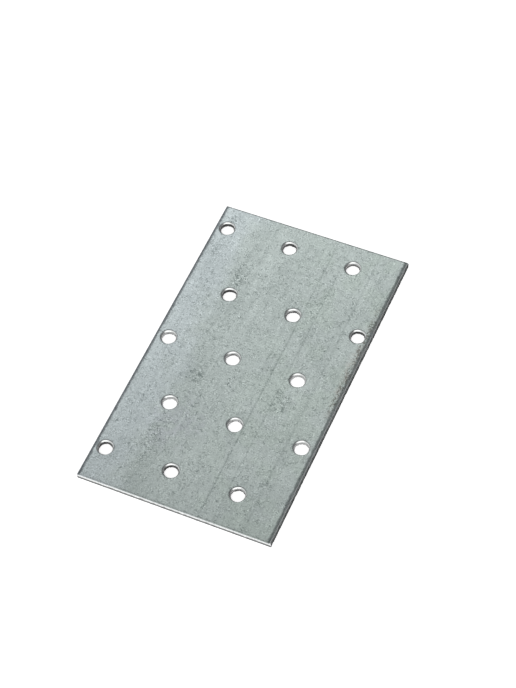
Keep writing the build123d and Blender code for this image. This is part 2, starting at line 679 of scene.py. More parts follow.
    def add_perimeter(self, draft: MeshDraft, top: np.ndarray, under: np.ndarray) -> None:
        """Closes the four cut sides between the top face and the underside.

        Each column of the wall goes from the rollover's end down the upright land to a fracture
        line of wandering height, and then leans in with a rough surface to the underside.

        Args:
            draft: The surface that they are added to.
            top: Numbers of the top face's outermost points, once round.
            under: The same on the underside.
        """
        start = np.concatenate(draft.points)[top]
        spots, start_height = start[:, :2].T, start[:, 2]
        counts = [len(self.across) - 1, len(self.along) - 1] * 2
        on_short = np.repeat([True, False, True, False], counts)
        nominal = np.where(on_short, self.sheared.torn_height, self.slit.torn_height)
        wander = np.where(on_short, self.sheared.torn_wander, self.slit.torn_wander)
        ripple = Ripple(self.seed + 3, *self.fracture_waves)
        fracture = nominal * (1.0 + wander * ripple.along(self.once_round(self.turns)))
        fracture = np.clip(fracture, self.least_torn, start_height - self.least_land)
        inward = -np.sign(spots) * [~on_short, on_short]
        heights, places, torn = [], [], []
        for share in np.linspace(0.0, 1.0, self.land_rows + 1)[1:]:
            heights.append(start_height + (fracture - start_height) * share)
            places.append(spots.T)
            torn.append(np.full(len(top), 0.5 if share == 1.0 else 0.0))
        for share in np.linspace(0.0, 1.0, self.torn_rows + 1)[1:-1]:
            heights.append(fracture * (1.0 - share))
            depth = self.once_round({
                side: self.tear_depth(self.turns[side], share, self.edge(side)) for side in Side
            })
            places.append((self.set_back(spots, share) + inward * depth).T)
            torn.append(np.ones(len(top)))
        points = np.concatenate([np.array(places), np.array(heights)[..., None]], axis=-1)
        rows = draft.add_points(points, torn=np.array(torn))
        loops = [top, *rows, under]
        for upper, lower in zip(loops[:-1], loops[1:]):
            quads = draft.quads(lower, upper)
            draft.add_faces(quads[on_short], Finish.SHEARED_STEEL)
            draft.add_faces(quads[~on_short], Finish.SLIT_STEEL)

    def window(self, row: int, block: int, count: int) -> tuple[slice, slice]:
        """The grid rows and columns from the start of a hole's block, count of each."""
        first, left = self.row_starts[row], self.column_starts[block]
        return slice(first, first + count), slice(left, left + count)

    def build(self) -> bpy.types.Object:
        """Builds the whole sheet as one closed surface, in place of the CAD node.

        Returns:
            The object, linked to the scene and attached to its body.
        """
        holes = self.hole_centres()
        open_cells = np.zeros((len(self.along) - 1, len(self.across) - 1), dtype=bool)
        for row, block, _, _ in holes:
            open_cells[self.window(row, block, self.block_cells)] = True
        draft = MeshDraft()
        grids = self.add_grids(draft, open_cells)
        self.add_perimeter(draft, *(self.perimeter(grid) for grid in grids))
        for number, (row, block, x, y) in enumerate(holes):
            window = self.window(row, block, self.block_cells + 1)
            loops = tuple(self.perimeter(grid[window]) for grid in grids)
            tear = self.row_tears[row][block // 2]
            self.add_hole(draft, loops, (x, y), tear, self.seed + 100 * (number + 1))
        centres = np.array([hole[2:] for hole in holes])
        mesh = draft.to_mesh(self.name, self.crease_angle, centres, self.near_hole)
        piece = link(bpy.data.objects.new(self.name, mesh))
        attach(piece, self.body)
        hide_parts(self.node)
        return piece


# Finishes

def grey(level: float, rest: Optional[float] = None) -> Colour:
    """A grey of one level, or a cooler one whose green and blue have a level of their own."""
    cooler = level if rest is None else rest
    return (level, cooler, cooler, 1.0)


@dataclass(frozen=True)
class Pattern:
    """A noise by its scale, detail, roughness and twist, and the passage that makes it a mask."""

    scale: Value
    detail: float = 2.0
    rough: float = 0.5
    twist: Value = 0.0
    passage: Range = (0.0, 1.0)


class Wiring:
    """Places nodes in one node tree and joins their sockets."""

    def __init__(self, tree: bpy.types.NodeTree) -> None:
        """Keeps the tree that the nodes go into."""
        self.tree = tree

    def node(self, kind: str, inputs: Inputs, **settings: object) -> bpy.types.Node:
        """Adds a node.

        Args:
            kind: Its type, such as ShaderNodeMath.
            inputs: Values or sockets for its inputs, by name or number.
            settings: Its properties.

        Returns:
            The node.
        """
        made = self.tree.nodes.new(kind)
        for key, value in settings.items():
            setattr(made, key, value)
        for key, value in inputs.items():
            if isinstance(value, bpy.types.NodeSocket):
                self.tree.links.new(value, made.inputs[key])
            else:
                made.inputs[key].default_value = value
        return made

    def math(self, operation: str, *values: Value, clamp: bool = False) -> Socket:
        """A Math node on the values."""
        inputs = dict(enumerate(values))
        made = self.node("ShaderNodeMath", inputs, operation=operation, use_clamp=clamp)
        return made.outputs[0]

    def product(self, first: Value, *others: Value) -> Value:
        """The values multiplied together."""
        for other in others:
            first = self.math("MULTIPLY", first, other)
        return first

    def vector(self, operation: str, *values: Value) -> Socket:
        """A Vector Math node on the values."""
        made = self.node("ShaderNodeVectorMath", dict(enumerate(values)), operation=operation)
        single = operation in ("LENGTH", "DOT_PRODUCT")
        return made.outputs["Value" if single else "Vector"]

    def split(self, vector: Socket) -> Outputs:
        """The X, Y and Z of a vector."""
        return self.node("ShaderNodeSeparateXYZ", {"Vector": vector}).outputs

    def noise(self, place: Value, pattern: Pattern) -> Socket:
        """The value of a three-dimensional Noise Texture node."""
        return self.node("ShaderNodeTexNoise", {
            "Vector": place, "Scale": pattern.scale, "Detail": pattern.detail,
            "Roughness": pattern.rough, "Distortion": pattern.twist,
        }).outputs["Fac"]

    def swing(self, place: Value, pattern: Pattern) -> Socket:
        """A noise centred on 0."""
        return self.math("SUBTRACT", self.noise(place, pattern), 0.5)

    def fade(
        self, value: Value, start: Value, end: Value, low: Value = 0.0, high: Value = 1.0
    ) -> Socket:
        """A smooth passage from low to high as the value goes from start to end."""
        return self.node("ShaderNodeMapRange", {
            "Value": value, "From Min": start, "From Max": end, "To Min": low, "To Max": high,
        }, interpolation_type="SMOOTHSTEP").outputs["Result"]

    def band(self, value: Socket, middle: float, reach: float, core: float) -> Socket:
        """A mask about a middle: 0 beyond the reach, and 1 within a share of it, the core."""
        away = self.math("ABSOLUTE", self.math("SUBTRACT", value, middle))
        return self.fade(self.math("DIVIDE", away, reach), 1.0, core)

    def patches(
        self, place: Value, pattern: Pattern, low: float = 0.0, high: float = 1.0
    ) -> Socket:
        """A noise that goes from low to high over the pattern's passage."""
        return self.fade(self.noise(place, pattern), *pattern.passage, low, high)

    def blend(self, share: Value, first: Value, second: Value, mode: str = "MIX") -> Socket:
        """A Mix node on two colours."""
        inputs = {0: share, 6: first, 7: second}
        made = self.node("ShaderNodeMix", inputs, data_type="RGBA", blend_type=mode)
        return made.outputs[2]

    def group(self, tree: bpy.types.NodeTree, inputs: Inputs) -> Outputs:
        """Places a node group with its own values and gives its outputs."""
        return self.node("ShaderNodeGroup", inputs, node_tree=tree).outputs


def blank_material(name: str) -> bpy.types.Material:
    """A new material without nodes."""
    made = bpy.data.materials.new(name)
    made.use_nodes = True
    made.node_tree.nodes.clear()
    return made


class EffectGroup:
    """A shader node group on its way: its tree, its wiring and its inside sockets."""

    def __init__(
        self, name: str, inputs: dict[str, Union[float, tuple]], outputs: Sequence[str]
    ) -> None:
        """Makes the group's tree and sockets.

        Args:
            name: The group's name.
            inputs: Default of each input. A tuple makes a vector, a number a value.
            outputs: Names of its outputs, which are values.
        """
        self.tree = bpy.data.node_groups.new(name, "ShaderNodeTree")
        interface = self.tree.interface
        for label, default in inputs.items():
            kind = "NodeSocketVector" if isinstance(default, tuple) else "NodeSocketFloat"
            socket = interface.new_socket(label, in_out="INPUT", socket_type=kind)
            socket.default_value = default
        for label in outputs:
            interface.new_socket(label, in_out="OUTPUT", socket_type="NodeSocketFloat")
        self.wiring = Wiring(self.tree)
        self.inside = self.tree.nodes.new("NodeGroupInput").outputs
        self.outside = self.tree.nodes.new("NodeGroupOutput").inputs

    def give(self, label: str, value: Socket) -> None:
        """Leads a value to an output."""
        self.tree.links.new(value, self.outside[label])


class SharedEffects:
    """The node groups that the zinc and the cut steel are made with."""

    ORIGIN = (0.0, 0.0, 0.0)
    # Scale of the coarse grain as a share of the fine one's
    COARSE_SCALE = 0.37
    # How a cloud's rim frays, and its distances from the middle, in reaches, of none and full
    FRAY = Pattern(0.45, detail=3.0, rough=0.6)
    OVAL = (1.05, 0.25)
    # How a lengthwise line wavers, where it breaks, and how softly it ends there
    WAVER = Pattern(0.16)
    BREAKS = Pattern(0.5, detail=3.0, rough=0.6)
    BREAK_BLUR = 0.25

    def __init__(self) -> None:
        """Builds each group once."""
        self.grain = self.make_grain()
        self.drawn = self.make_drawn()
        self.cloud = self.make_cloud()
        self.line = self.make_line()

    def make_grain(self) -> bpy.types.NodeTree:
        """Crystal grain: two sizes of twisted noise, joined and centred on 0.

        Returns:
            The group's tree, with the outputs Tone and Height.
        """
        group = EffectGroup("metal_grain", {
            "Vector": self.ORIGIN, "Scale": 2.0, "Twist": 1.0, "Coarse Share": 0.5,
        }, ("Tone", "Height"))
        wire, inside = group.wiring, group.inside
        place, scale, twist = inside["Vector"], inside["Scale"], inside["Twist"]
        fine = wire.noise(place, Pattern(scale, detail=3.0, rough=0.55, twist=twist))
        fine_tone = wire.math("SUBTRACT", fine, 0.5)
        coarse_scale = wire.math("MULTIPLY", scale, self.COARSE_SCALE)
        coarse_tone = wire.swing(place, Pattern(coarse_scale, twist=twist))
        joined = wire.math("MULTIPLY_ADD", coarse_tone, inside["Coarse Share"], fine_tone)
        group.give("Tone", joined)
        group.give("Height", fine)
        return group.tree

    def make_drawn(self) -> bpy.types.NodeTree:
        """Drawn lines: noise pulled long in one direction, centred on 0.

        Returns:
            The group's tree, with the output Tone.
        """
        group = EffectGroup("drawn_lines", {
            "Vector": self.ORIGIN, "Stretch": (1.0, 0.02, 1.0), "Scale": 1.0,
        }, ("Tone",))
        wire, inside = group.wiring, group.inside
        pulled = wire.vector("MULTIPLY", inside["Vector"], inside["Stretch"])
        lines = Pattern(inside["Scale"], detail=3.0, rough=0.6)
        group.give("Tone", wire.swing(pulled, lines))
        return group.tree

    def make_cloud(self) -> bpy.types.NodeTree:
        """A cloud: an oval that fades outwards, its rim frayed and its inside broken up.

        Returns:
            The group's tree, with the output Mask.
        """
        group = EffectGroup("cloud", {
            "Vector": self.ORIGIN, "Middle": self.ORIGIN, "Reach": (3.0, 3.0, 3.0),
            "Fray": 1.6, "Clumps": 0.9,
        }, ("Mask",))
        wire, inside = group.wiring, group.inside
        place = inside["Vector"]
        away = wire.vector("SUBTRACT", place, inside["Middle"])
        away = wire.vector("DIVIDE", away, inside["Reach"])
        push = wire.product(wire.swing(place, self.FRAY), inside["Fray"])
        oval = wire.fade(wire.math("ADD", wire.vector("LENGTH", away), push), *self.OVAL)
        clumps = Pattern(
            inside["Clumps"], detail=3.0, rough=0.62, twist=0.6, passage=(0.38, 0.62)
        )
        group.give("Mask", wire.product(oval, wire.patches(place, clumps)))
        return group.tree

    def make_line(self) -> bpy.types.NodeTree:
        """A lengthwise line: a narrow band about one X that wavers and fades in places.

        Returns:
            The group's tree, with the output Mask.
        """
        group = EffectGroup("lengthwise_line", {
            "Vector": self.ORIGIN, "Across": 0.0, "Width": 0.4, "Gaps": 0.3, "Waver": 0.15,
        }, ("Mask",))
        wire, inside = group.wiring, group.inside
        parts = wire.split(inside["Vector"])
        middle, gaps = inside["Across"], inside["Gaps"]
        run = wire.node("ShaderNodeCombineXYZ", {"X": middle, "Y": parts["Y"]}).outputs[0]
        waver = wire.product(wire.swing(run, self.WAVER), inside["Waver"])
        beside = wire.math("ADD", wire.math("SUBTRACT", parts["X"], middle), waver)
        distance = wire.math("DIVIDE", wire.math("ABSOLUTE", beside), inside["Width"])
        breaks = wire.noise(run, self.BREAKS)
        kept = wire.fade(breaks, gaps, wire.math("ADD", gaps, self.BREAK_BLUR))
        group.give("Mask", wire.product(wire.fade(distance, 1.0, 0.0), kept))
        return group.tree


class PlateWiring(Wiring):
    """The wiring of one of the plate's materials.

    It holds the material and the shared groups, and where the shaded point lies on the plate in
    millimetres: as the vector place, and in its parts across, along and up.
    """

    def __init__(self, name: str, effects: SharedEffects) -> None:
        """Makes the material of that name, and brings its Object coordinates to millimetres."""
        self.made = blank_material(name)
        super().__init__(self.made.node_tree)
        self.effects = effects
        spot = self.node("ShaderNodeTexCoord", {}).outputs["Object"]
        scale = (1.0 / METRES_PER_MM,) * 3
        mapped = self.node("ShaderNodeMapping", {"Vector": spot, "Scale": scale})
        self.place = mapped.outputs["Vector"]
        parts = self.split(self.place)
        self.across, self.along, self.up = parts["X"], parts["Y"], parts["Z"]

    def attribute(self, name: str) -> Outputs:
        """The outputs of an Attribute node that reads a mask or vector of the mesh."""
        return self.node("ShaderNodeAttribute", {}, attribute_name=name).outputs

    def grain(self, scale: float, twist: float, coarse_share: float = 0.5) -> Outputs:
        """Tone and Height of the shared grain at the shaded point."""
        return self.group(self.effects.grain, {
            "Vector": self.place, "Scale": scale, "Twist": twist, "Coarse Share": coarse_share,
        })

    def drawn(self, scale: float, stretch: Triple) -> Socket:
        """Tone of the shared drawn lines at the shaded point."""
        inputs = {"Vector": self.place, "Scale": scale, "Stretch": stretch}
        return self.group(self.effects.drawn, inputs)["Tone"]

    def metal(
        self, colour: Socket, rough: Socket, height: Socket, bump: Range,
        grazing: Colour = grey(1.0),
    ) -> bpy.types.Material:
        """Ends the material with a bumped metal surface.

        Args:
            colour: Colour seen square on.
            rough: Roughness.
            height: Height of the fine relief.
            bump: Strength of that relief, and its depth in metres.
            grazing: What the colour seen at a flat angle is multiplied by.

        Returns:
            The material.
        """
        strength, distance = bump
        relief = self.node("ShaderNodeBump", {
            "Height": height, "Strength": strength, "Distance": distance,
        })
        shader = self.node("ShaderNodeBsdfPrincipled", {
            "Base Color": colour, "Metallic": 1.0, "Roughness": rough,
            "Normal": relief.outputs["Normal"], "Specular Tint": grazing,
        })
        self.node("ShaderNodeOutputMaterial", {"Surface": shader.outputs[0]})
        return self.made


@dataclass(frozen=True)
class Cloud:
    """One stain or bloom on the top face: its middle, its reach across and along, its depth."""

    x: float
    y: float
    across: float
    along: float
    depth: float = 1.0
    fray: float = 1.6
    clumps: float = 0.9
    height: float = 2.0
    reach_up: float = 6.0

    def mask(self, wire: PlateWiring) -> Socket:
        """The cloud's mask at a place on the plate, from 0 to 1."""
        return wire.group(wire.effects.cloud, {
            "Vector": wire.place, "Middle": (self.x, self.y, self.height),
            "Reach": (self.across, self.along, self.reach_up),
            "Fray": self.fray, "Clumps": self.clumps,
        })["Mask"]


@dataclass(frozen=True)
class MillLine:
    """One dark line that runs the length of the strip."""

    across: float
    width: float
    depth: float
    gaps: float = 0.2

    def mask(self, wire: PlateWiring) -> Socket:
        """The line's mask at a place on the plate, from 0 to 1."""
        return wire.group(wire.effects.line, {
            "Vector": wire.place, "Across": self.across, "Width": self.width, "Gaps": self.gaps,
        })["Mask"]


@dataclass(frozen=True)
class Stroke:
    """One size of curled strokes: scale and twist of its noise, and half a stroke's width.

    The passages of a stroke's dark core and of the painted highlight on the flank beside it are
    in such widths.
    """

    scale: float
    twist: float
    width: float
    core: Range = (1.0, 0.2)
    flank_rise: Range = (0.9, 1.6)
    flank_fall: Range = (2.8, 2.0)
    # Strength of the painted highlight on a stroke's flank
    flank_highlight: float = 0.6

    def across(self, wire: PlateWiring, away: Socket, passage: Range) -> Socket:
        """A fade over a passage that is given in widths."""
        return wire.fade(away, *(self.width * end for end in passage))

    def mark(self, wire: PlateWiring) -> Socket:
        """The thin lines along which a noise passes its middle value.

        Each is dark with a painted highlight on one flank, where one side of a shallow crease in
        zinc would catch the light.

        Args:
            wire: The material's wiring.

        Returns:
            A value, 1 on a stroke, below 0 on its flank and 0 beside it.
        """
        curls = Pattern(self.scale, detail=1.0, twist=self.twist)
        away = wire.swing(wire.place, curls)
        dark = self.across(wire, wire.math("ABSOLUTE", away), self.core)
        # The flank: a painted highlight on one side of the stroke
        rising = self.across(wire, away, self.flank_rise)
        flank = wire.product(rising, self.across(wire, away, self.flank_fall))
        return wire.math("MULTIPLY_ADD", flank, -self.flank_highlight, dark)


@dataclass(frozen=True)
class ZincFace:
    """Zinc-coated faces: cool grey, mottled, with mill lines, stains, and painted sheen,
    highlight and shade.

    A tone called after a mark is what the colour is multiplied by under it, and a range called
    after it is where its mask goes from 0 to 1, in millimetres or in the rolled mask.
    """

    name: str = "zinc_face"
    dark_tone: Colour = (0.22, 0.255, 0.245, 1.0)
    light_tone: Colour = (0.74, 0.80, 0.775, 1.0)
    # Lightness between those two: its mean, and how much each irregularity adds
    mean_tone: float = 0.54
    grain_scale: float = 1.7
    grain_twist: float = 1.2
    grain_depth: float = 0.03
    fine_grain: Pattern = Pattern(2.6, detail=1.0, twist=0.3)
    fine_depth: float = 0.83
    # The patches in which the fine grain is weak or strong, and its strengths in them
    fine_places: Pattern = Pattern(0.4, rough=0.6, passage=(0.38, 0.62))
    fine_range: Range = (0.55, 1.35)
    mottle: Pattern = Pattern(0.09, rough=0.45, twist=0.5)
    mottle_depth: float = 0.26
    streak_scale: float = 0.9
    streak_stretch: Triple = (1.0, 0.012, 1.0)
    streak_depth: float = 0.27
    # Curled strokes, and their breaks, whose scale is a share of the strokes' own
    scratch_depth: float = 0.31
    strokes: Sequence[Stroke] = (Stroke(0.85, 1.1, 0.045), Stroke(1.35, 0.8, 0.055))
    break_scale: float = 0.6
    break_range: Range = (0.46, 0.58)
    # Painted sheen on the left, lighter and bluer as a reflection, its border wavering
    left_sheen_tone: Colour = (1.10, 1.09, 1.14, 1.0)
    left_sheen_range: Range = (-4.0, -13.0)
    sheen_border: Pattern = Pattern(0.09, detail=3.0, rough=0.6)
    sheen_waver: float = 20.0
    far_tone: Colour = grey(1.06)
    far_range: Range = (32.0, 46.0)
    tint_tone: Colour = (0.985, 1.0, 0.975, 1.0)
    tint_places: Pattern = Pattern(0.13, passage=(0.46, 0.6))
    tint_range: Range = (-8.0, 12.0)
    warm_tone: Colour = (1.03, 0.97, 0.95, 1.0)
    warm_cloud: Cloud = Cloud(27.6, 11.0, 2.6, 24.0, fray=1.8, clumps=0.7)
    cool_tone: Colour = (1.01, 0.98, 1.03, 1.0)
    cool_cloud: Cloud = Cloud(-11.0, -25.0, 10.0, 13.0, clumps=0.25)
    # Nicks beside the right edge: middle, reach and core of their band across and along
    nick_tone: Colour = (0.44, 0.41, 0.39, 1.0)
    nick_specks: Pattern = Pattern(1.5, detail=3.0, rough=0.6, twist=0.8, passage=(0.48, 0.58))
    nick_across: Triple = (27.4, 1.1, 0.3)
    nick_along: Triple = (12.0, 24.0, 0.55)
    # Painted light and shade on the rolled-over edges, with their dark outer part, and the width
    # over which one side's marks fade in from the middle
    side_blur: float = 1.0
    top_range: Range = (0.2, 1.0)
    # Painted shade over the whole rollover
    roll_tone: Colour = (0.8, 0.81, 0.83, 1.0)
    roll_range: Range = (0.0, 0.4)
    # Painted highlight along the crease of the right rollover
    crease_highlight_tone: Colour = grey(4.1)
    crease_highlight_range: Range = (0.4, 0.56)
    # Painted shade in a gutter inside the crease
    crease_line: Range = (28.55, 28.35)
    gutter_shade_tone: Colour = grey(0.8)
    gutter_shade_range: Range = (27.9, 28.2)
    spent_tone: Colour = grey(0.11)
    spent_range: Range = (0.68, 0.8)
    # Painted shade along the far edge's rollover
    far_line_shade_tone: Colour = (0.48, 0.48, 0.49, 1.0)
    far_line_shade_range: Range = (49.5, 49.8)
    # Lines of painted shade where the rollovers of the long edges begin
    beside_shade_tone: Colour = (0.48, 0.48, 0.49, 1.0)
    beside_start: float = 27.6
    beside_left_shift: float = 0.25
    beside_width: float = 0.45
    beside_border: Pattern = Pattern(0.7, rough=0.6)
    beside_wobble: float = 0.8
    # Painted shade: a dark ring in a hole's dish, weaker on the right
    halo_shade_tone: Colour = (0.66, 0.66, 0.67, 1.0)
    halo_range: Range = (2.78, 2.5)
    halo_side: Range = (1.6, -1.0)
    halo_least: float = 0.3
    dull_places: Pattern = Pattern(0.7, detail=4.0, rough=0.6, passage=(0.3, 0.7))
    roughness: Range = (0.4, 0.45)
    relief_scale: float = 2.4
    relief_twist: float = 0.8
    relief: Range = (0.6, 0.00007)
    stain_shade: float = 0.6
    stain_flecks: float = 4.2
    stains: Sequence[Cloud] = (
        Cloud(-14.8, 27.0, 3.4, 6.5, 0.25),
        Cloud(-12.0, -8.0, 4.2, 3.8, 0.2),
        Cloud(-1.8, -6.5, 2.4, 3.2, 0.15),
        Cloud(13.4, -8.0, 3.3, 5.0, 0.29),
        Cloud(20.4, 29.0, 1.2, 6.0, 0.1),
        Cloud(11.6, 34.0, 0.9, 5.0, 0.1),
        Cloud(-26.2, 34.5, 3.4, 4.0, 0.2),
        Cloud(-24.0, 46.0, 3.4, 2.2, 0.12),
        Cloud(-14.5, -31.0, 3.5, 10.0, 0.13),
        Cloud(-9.0, 29.5, 2.2, 1.6, 0.18),
    )
    mill_lines: Sequence[MillLine] = (
        MillLine(7.4, 0.4, 0.19, 0.05), MillLine(20.5, 0.7, 0.12, 0.2),
        MillLine(11.5, 0.42, 0.12, 0.22), MillLine(-11.4, 0.5, 0.07, 0.3),
        MillLine(-22.8, 0.5, 0.07, 0.3), MillLine(4.4, 0.8, 0.055, 0.25),
        MillLine(16.8, 0.5, 0.04, 0.3), MillLine(0.0, 0.5, 0.04, 0.3),
        MillLine(-14.2, 4.6, 0.05, 0.2),
    )

    def scratches(self, wire: PlateWiring, stained: Value) -> Socket:
        """Fine curled strokes of every size, each broken in places.

        Args:
            wire: The material's wiring.
            stained: Mask of the stains, in which the strokes run on without a break.

        Returns:
            A value, 1 on a stroke, below 0 on its flank and 0 beside it.
        """
        total: Value = 0.0
        for stroke in self.strokes:
            breaks = Pattern(
                self.break_scale * stroke.scale, rough=0.6, passage=self.break_range
            )
            kept = wire.math("MAXIMUM", wire.patches(wire.place, breaks), stained)
            total = wire.math("MULTIPLY_ADD", stroke.mark(wire), kept, total)
        return total

    def nicks(self, wire: PlateWiring) -> Socket:
        """Small dark nicks and rub marks beside the middle of the right edge.

        Args:
            wire: The material's wiring.

        Returns:
            A mask, 1 on a nick and 0 beside it.
        """
        near_edge = wire.band(wire.across, *self.nick_across)
        within = wire.band(wire.along, *self.nick_along)
        return wire.product(near_edge, within, wire.patches(wire.place, self.nick_specks))

    def tone(self, wire: PlateWiring) -> Socket:
        """The face's lightness: a mean, plus grain, patches and streaks, less lines and stains.

        Args:
            wire: The material's wiring.

        Returns:
            A value from 0, the dark tone, to 1, the light tone.
        """
        place = wire.place
        strength = wire.patches(place, self.fine_places, *self.fine_range)
        fine = wire.product(wire.swing(place, self.fine_grain), strength)
        parts = [
            (wire.grain(self.grain_scale, self.grain_twist)["Tone"], self.grain_depth),
            (fine, self.fine_depth),
            (wire.swing(place, self.mottle), self.mottle_depth),
            (wire.drawn(self.streak_scale, self.streak_stretch), self.streak_depth),
        ]
        parts += [(line.mask(wire), -line.depth) for line in self.mill_lines]
        flecks: Value = self.scratch_depth
        stained: Value = 0.0
        for stain in self.stains:
            mask = stain.mask(wire)
            parts.append((mask, -self.stain_shade * stain.depth))
            flecks = wire.math("MULTIPLY_ADD", mask, stain.depth * self.stain_flecks, flecks)
            stained = wire.math("MAXIMUM", mask, stained)
        total: Value = self.mean_tone
        for part, depth in parts:
            total = wire.math("MULTIPLY_ADD", part, depth, total)
        marks = wire.product(self.scratches(wire, stained), flecks)
        return wire.math("SUBTRACT", total, marks)

    def face_marks(self, wire: PlateWiring) -> Marks:
        """Marks on the open face: painted sheen on the left, lighter far end, rubs, nicks, cool
        cloud and tint.

        Args:
            wire: The material's wiring.

        Returns:
            For each mark its mask and its tone.
        """
        # The wavering border of the painted sheen on the left
        border = wire.noise(wire.place, self.sheen_border)
        wavy = wire.math("MULTIPLY_ADD", border, self.sheen_waver, wire.across)
        on_top = wire.fade(wire.up, *self.top_range)
        greenish = wire.patches(wire.place, self.tint_places)
        to_right = wire.fade(wire.across, *self.tint_range)
        return [
            (wire.fade(wavy, *self.left_sheen_range), self.left_sheen_tone),
            (wire.fade(wire.along, *self.far_range), self.far_tone),
            (self.warm_cloud.mask(wire), self.warm_tone),
            (wire.product(self.nicks(wire), on_top), self.nick_tone),
            (self.cool_cloud.mask(wire), self.cool_tone),
            (wire.product(greenish, to_right), self.tint_tone),
        ]

    def painted_edge_shading(self, wire: PlateWiring) -> Marks:
        """Painted light and shade, and a dark outer part, along the rolled-over edges of the top
        side.

        A rollover is darkened with painted shade. On the right it also has a painted highlight
        along its crease, painted shade in a gutter inside that and a dark outer part. Where the
        rollover begins, a wobbling line of painted shade runs along both long edges, and a
        straight one along the far edge.

        Args:
            wire: The material's wiring.

        Returns:
            For each mark its mask and its tone.
        """
        rolled = wire.attribute("rolled")["Fac"]
        on_right = wire.fade(wire.across, 0.0, self.side_blur)
        on_top = wire.fade(wire.up, *self.top_range)
        inside = wire.product(wire.fade(wire.across, *self.crease_line), on_top)
        # The wobbling line of painted shade where a long edge's rollover begins
        wobble = wire.product(wire.swing(wire.place, self.beside_border), self.beside_wobble)
        outward = wire.math("ADD", wire.math("ABSOLUTE", wire.across), wobble)
        on_left = wire.fade(wire.across, 0.0, -self.side_blur)
        start = wire.math("MULTIPLY_ADD", on_left, self.beside_left_shift, self.beside_start)
        beside = wire.fade(outward, start, wire.math("ADD", start, self.beside_width))
        gutter_shade = wire.fade(wire.across, *self.gutter_shade_range)
        # Painted shade, crease highlight, gutter shade, dark outer part, and lines of painted
        # shade
        return [
            (wire.fade(rolled, *self.roll_range), self.roll_tone),
            (wire.product(wire.fade(rolled, *self.crease_highlight_range), on_right), self.crease_highlight_tone),
            (wire.product(gutter_shade, inside), self.gutter_shade_tone),
            (wire.product(wire.fade(rolled, *self.spent_range), on_right), self.spent_tone),
            (wire.product(wire.fade(wire.along, *self.far_line_shade_range), on_top),
             self.far_line_shade_tone),
            (wire.product(beside, inside), self.beside_shade_tone),
        ]

    def hole_ring_shade(self, wire: PlateWiring) -> Marks:
        """Mask and tone of the painted shade in each hole's dish: a dark ring, weaker on the
        right.
        """
        away = wire.attribute("from_hole")["Vector"]
        parts = wire.split(away)
        distance = wire.vector("LENGTH", wire.vector("MULTIPLY", away, (1.0, 1.0, 0.0)))
        ring = wire.product(wire.fade(distance, *self.halo_range), parts["Z"])
        side = wire.fade(parts["X"], *self.halo_side, self.halo_least, 1.0)
        return [(wire.product(ring, side), self.halo_shade_tone)]

    def material(self, effects: SharedEffects) -> bpy.types.Material:
        """Builds the material.

        Args:
            effects: The shared node groups.

        Returns:
            The material.
        """
        wire = PlateWiring(self.name, effects)
        colour = wire.blend(self.tone(wire), self.dark_tone, self.light_tone)
        # The marks multiply the colour: real marks, and painted sheen, highlight and shade
        for mask, tone in self.face_marks(wire) + self.painted_edge_shading(wire) + self.hole_ring_shade(wire):
            colour = wire.blend(mask, colour, tone, "MULTIPLY")
        rough = wire.patches(wire.place, self.dull_places, *self.roughness)
        height = wire.grain(self.relief_scale, self.relief_twist)["Height"]
        return wire.metal(colour, rough, height, self.relief)


@dataclass(frozen=True)
class CutSteel:
    """Bare steel of the cuts: rolled zinc at the top, scored land, dark and rough tear, painted
    shading below.
    """

    name: str
    land_tone: Colour
    land_shade: Colour
    torn_tone: Colour
    torn_light: Colour
    roll_tone: Colour = (0.88, 0.90, 0.89, 1.0)
    land_roughness: float = 0.27
    torn_roughness: float = 0.62
    grazing_tone: Colour = grey(1.0)
    # Painted shading towards the underside: what the colour is multiplied by there, and its
    # height
    painted_foot_shading: Colour = grey(1.0)
    foot_height: float = 0.6
    # Height below which the foot has its full tone, as a share of the foot's own
    foot_core: float = 0.3
    score_scale: float = 3.0
    score_stretch: Triple = (1.0, 1.0, 0.12)
    grain_scale: float = 3.0
    grain_twist: float = 0.5
    coarse_share: float = 0.9
    # Gain and mean of the mix of two tones, on the land and in the tear
    score_mix: Range = (2.2, 0.35)
    torn_mix: Range = (2.0, 0.4)
    # How much the grain frays the borders of the tear
    torn_fray: float = 0.8
    torn_range: Range = (0.35, 0.65)
    roll_range: Range = (0.5, 0.8)
    relief: Range = (0.8, 0.00012)

    def material(self, effects: SharedEffects) -> bpy.types.Material:
        """Builds the material.

        Args:
            effects: The shared node groups.

        Returns:
            The material.
        """
        wire = PlateWiring(self.name, effects)
        scores = wire.drawn(self.score_scale, self.score_stretch)
        scored = wire.math("MULTIPLY_ADD", scores, *self.score_mix, clamp=True)
        land = wire.blend(scored, self.land_tone, self.land_shade)
        grain = wire.grain(self.grain_scale, self.grain_twist, self.coarse_share)
        lit = wire.math("MULTIPLY_ADD", grain["Tone"], *self.torn_mix, clamp=True)
        tear = wire.blend(lit, self.torn_tone, self.torn_light)
        frayed = wire.math(
            "MULTIPLY_ADD", grain["Tone"], self.torn_fray, wire.attribute("torn")["Fac"]
        )
        torn = wire.fade(frayed, *self.torn_range)
        colour = wire.blend(torn, land, tear)
        # Painted shading towards the underside: shade on the sheared ends, light on the punched
        # bores
        foot = wire.fade(wire.up, self.foot_height, self.foot_core * self.foot_height)
        colour = wire.blend(foot, colour, self.painted_foot_shading, "MULTIPLY")
        rolled = wire.fade(wire.attribute("rolled")["Fac"], *self.roll_range)
        colour = wire.blend(rolled, colour, self.roll_tone)
        rough = wire.fade(torn, 0.0, 1.0, self.land_roughness, self.torn_roughness)
        height = wire.product(grain["Height"], torn)
        return wire.metal(colour, rough, height, self.relief, self.grazing_tone)


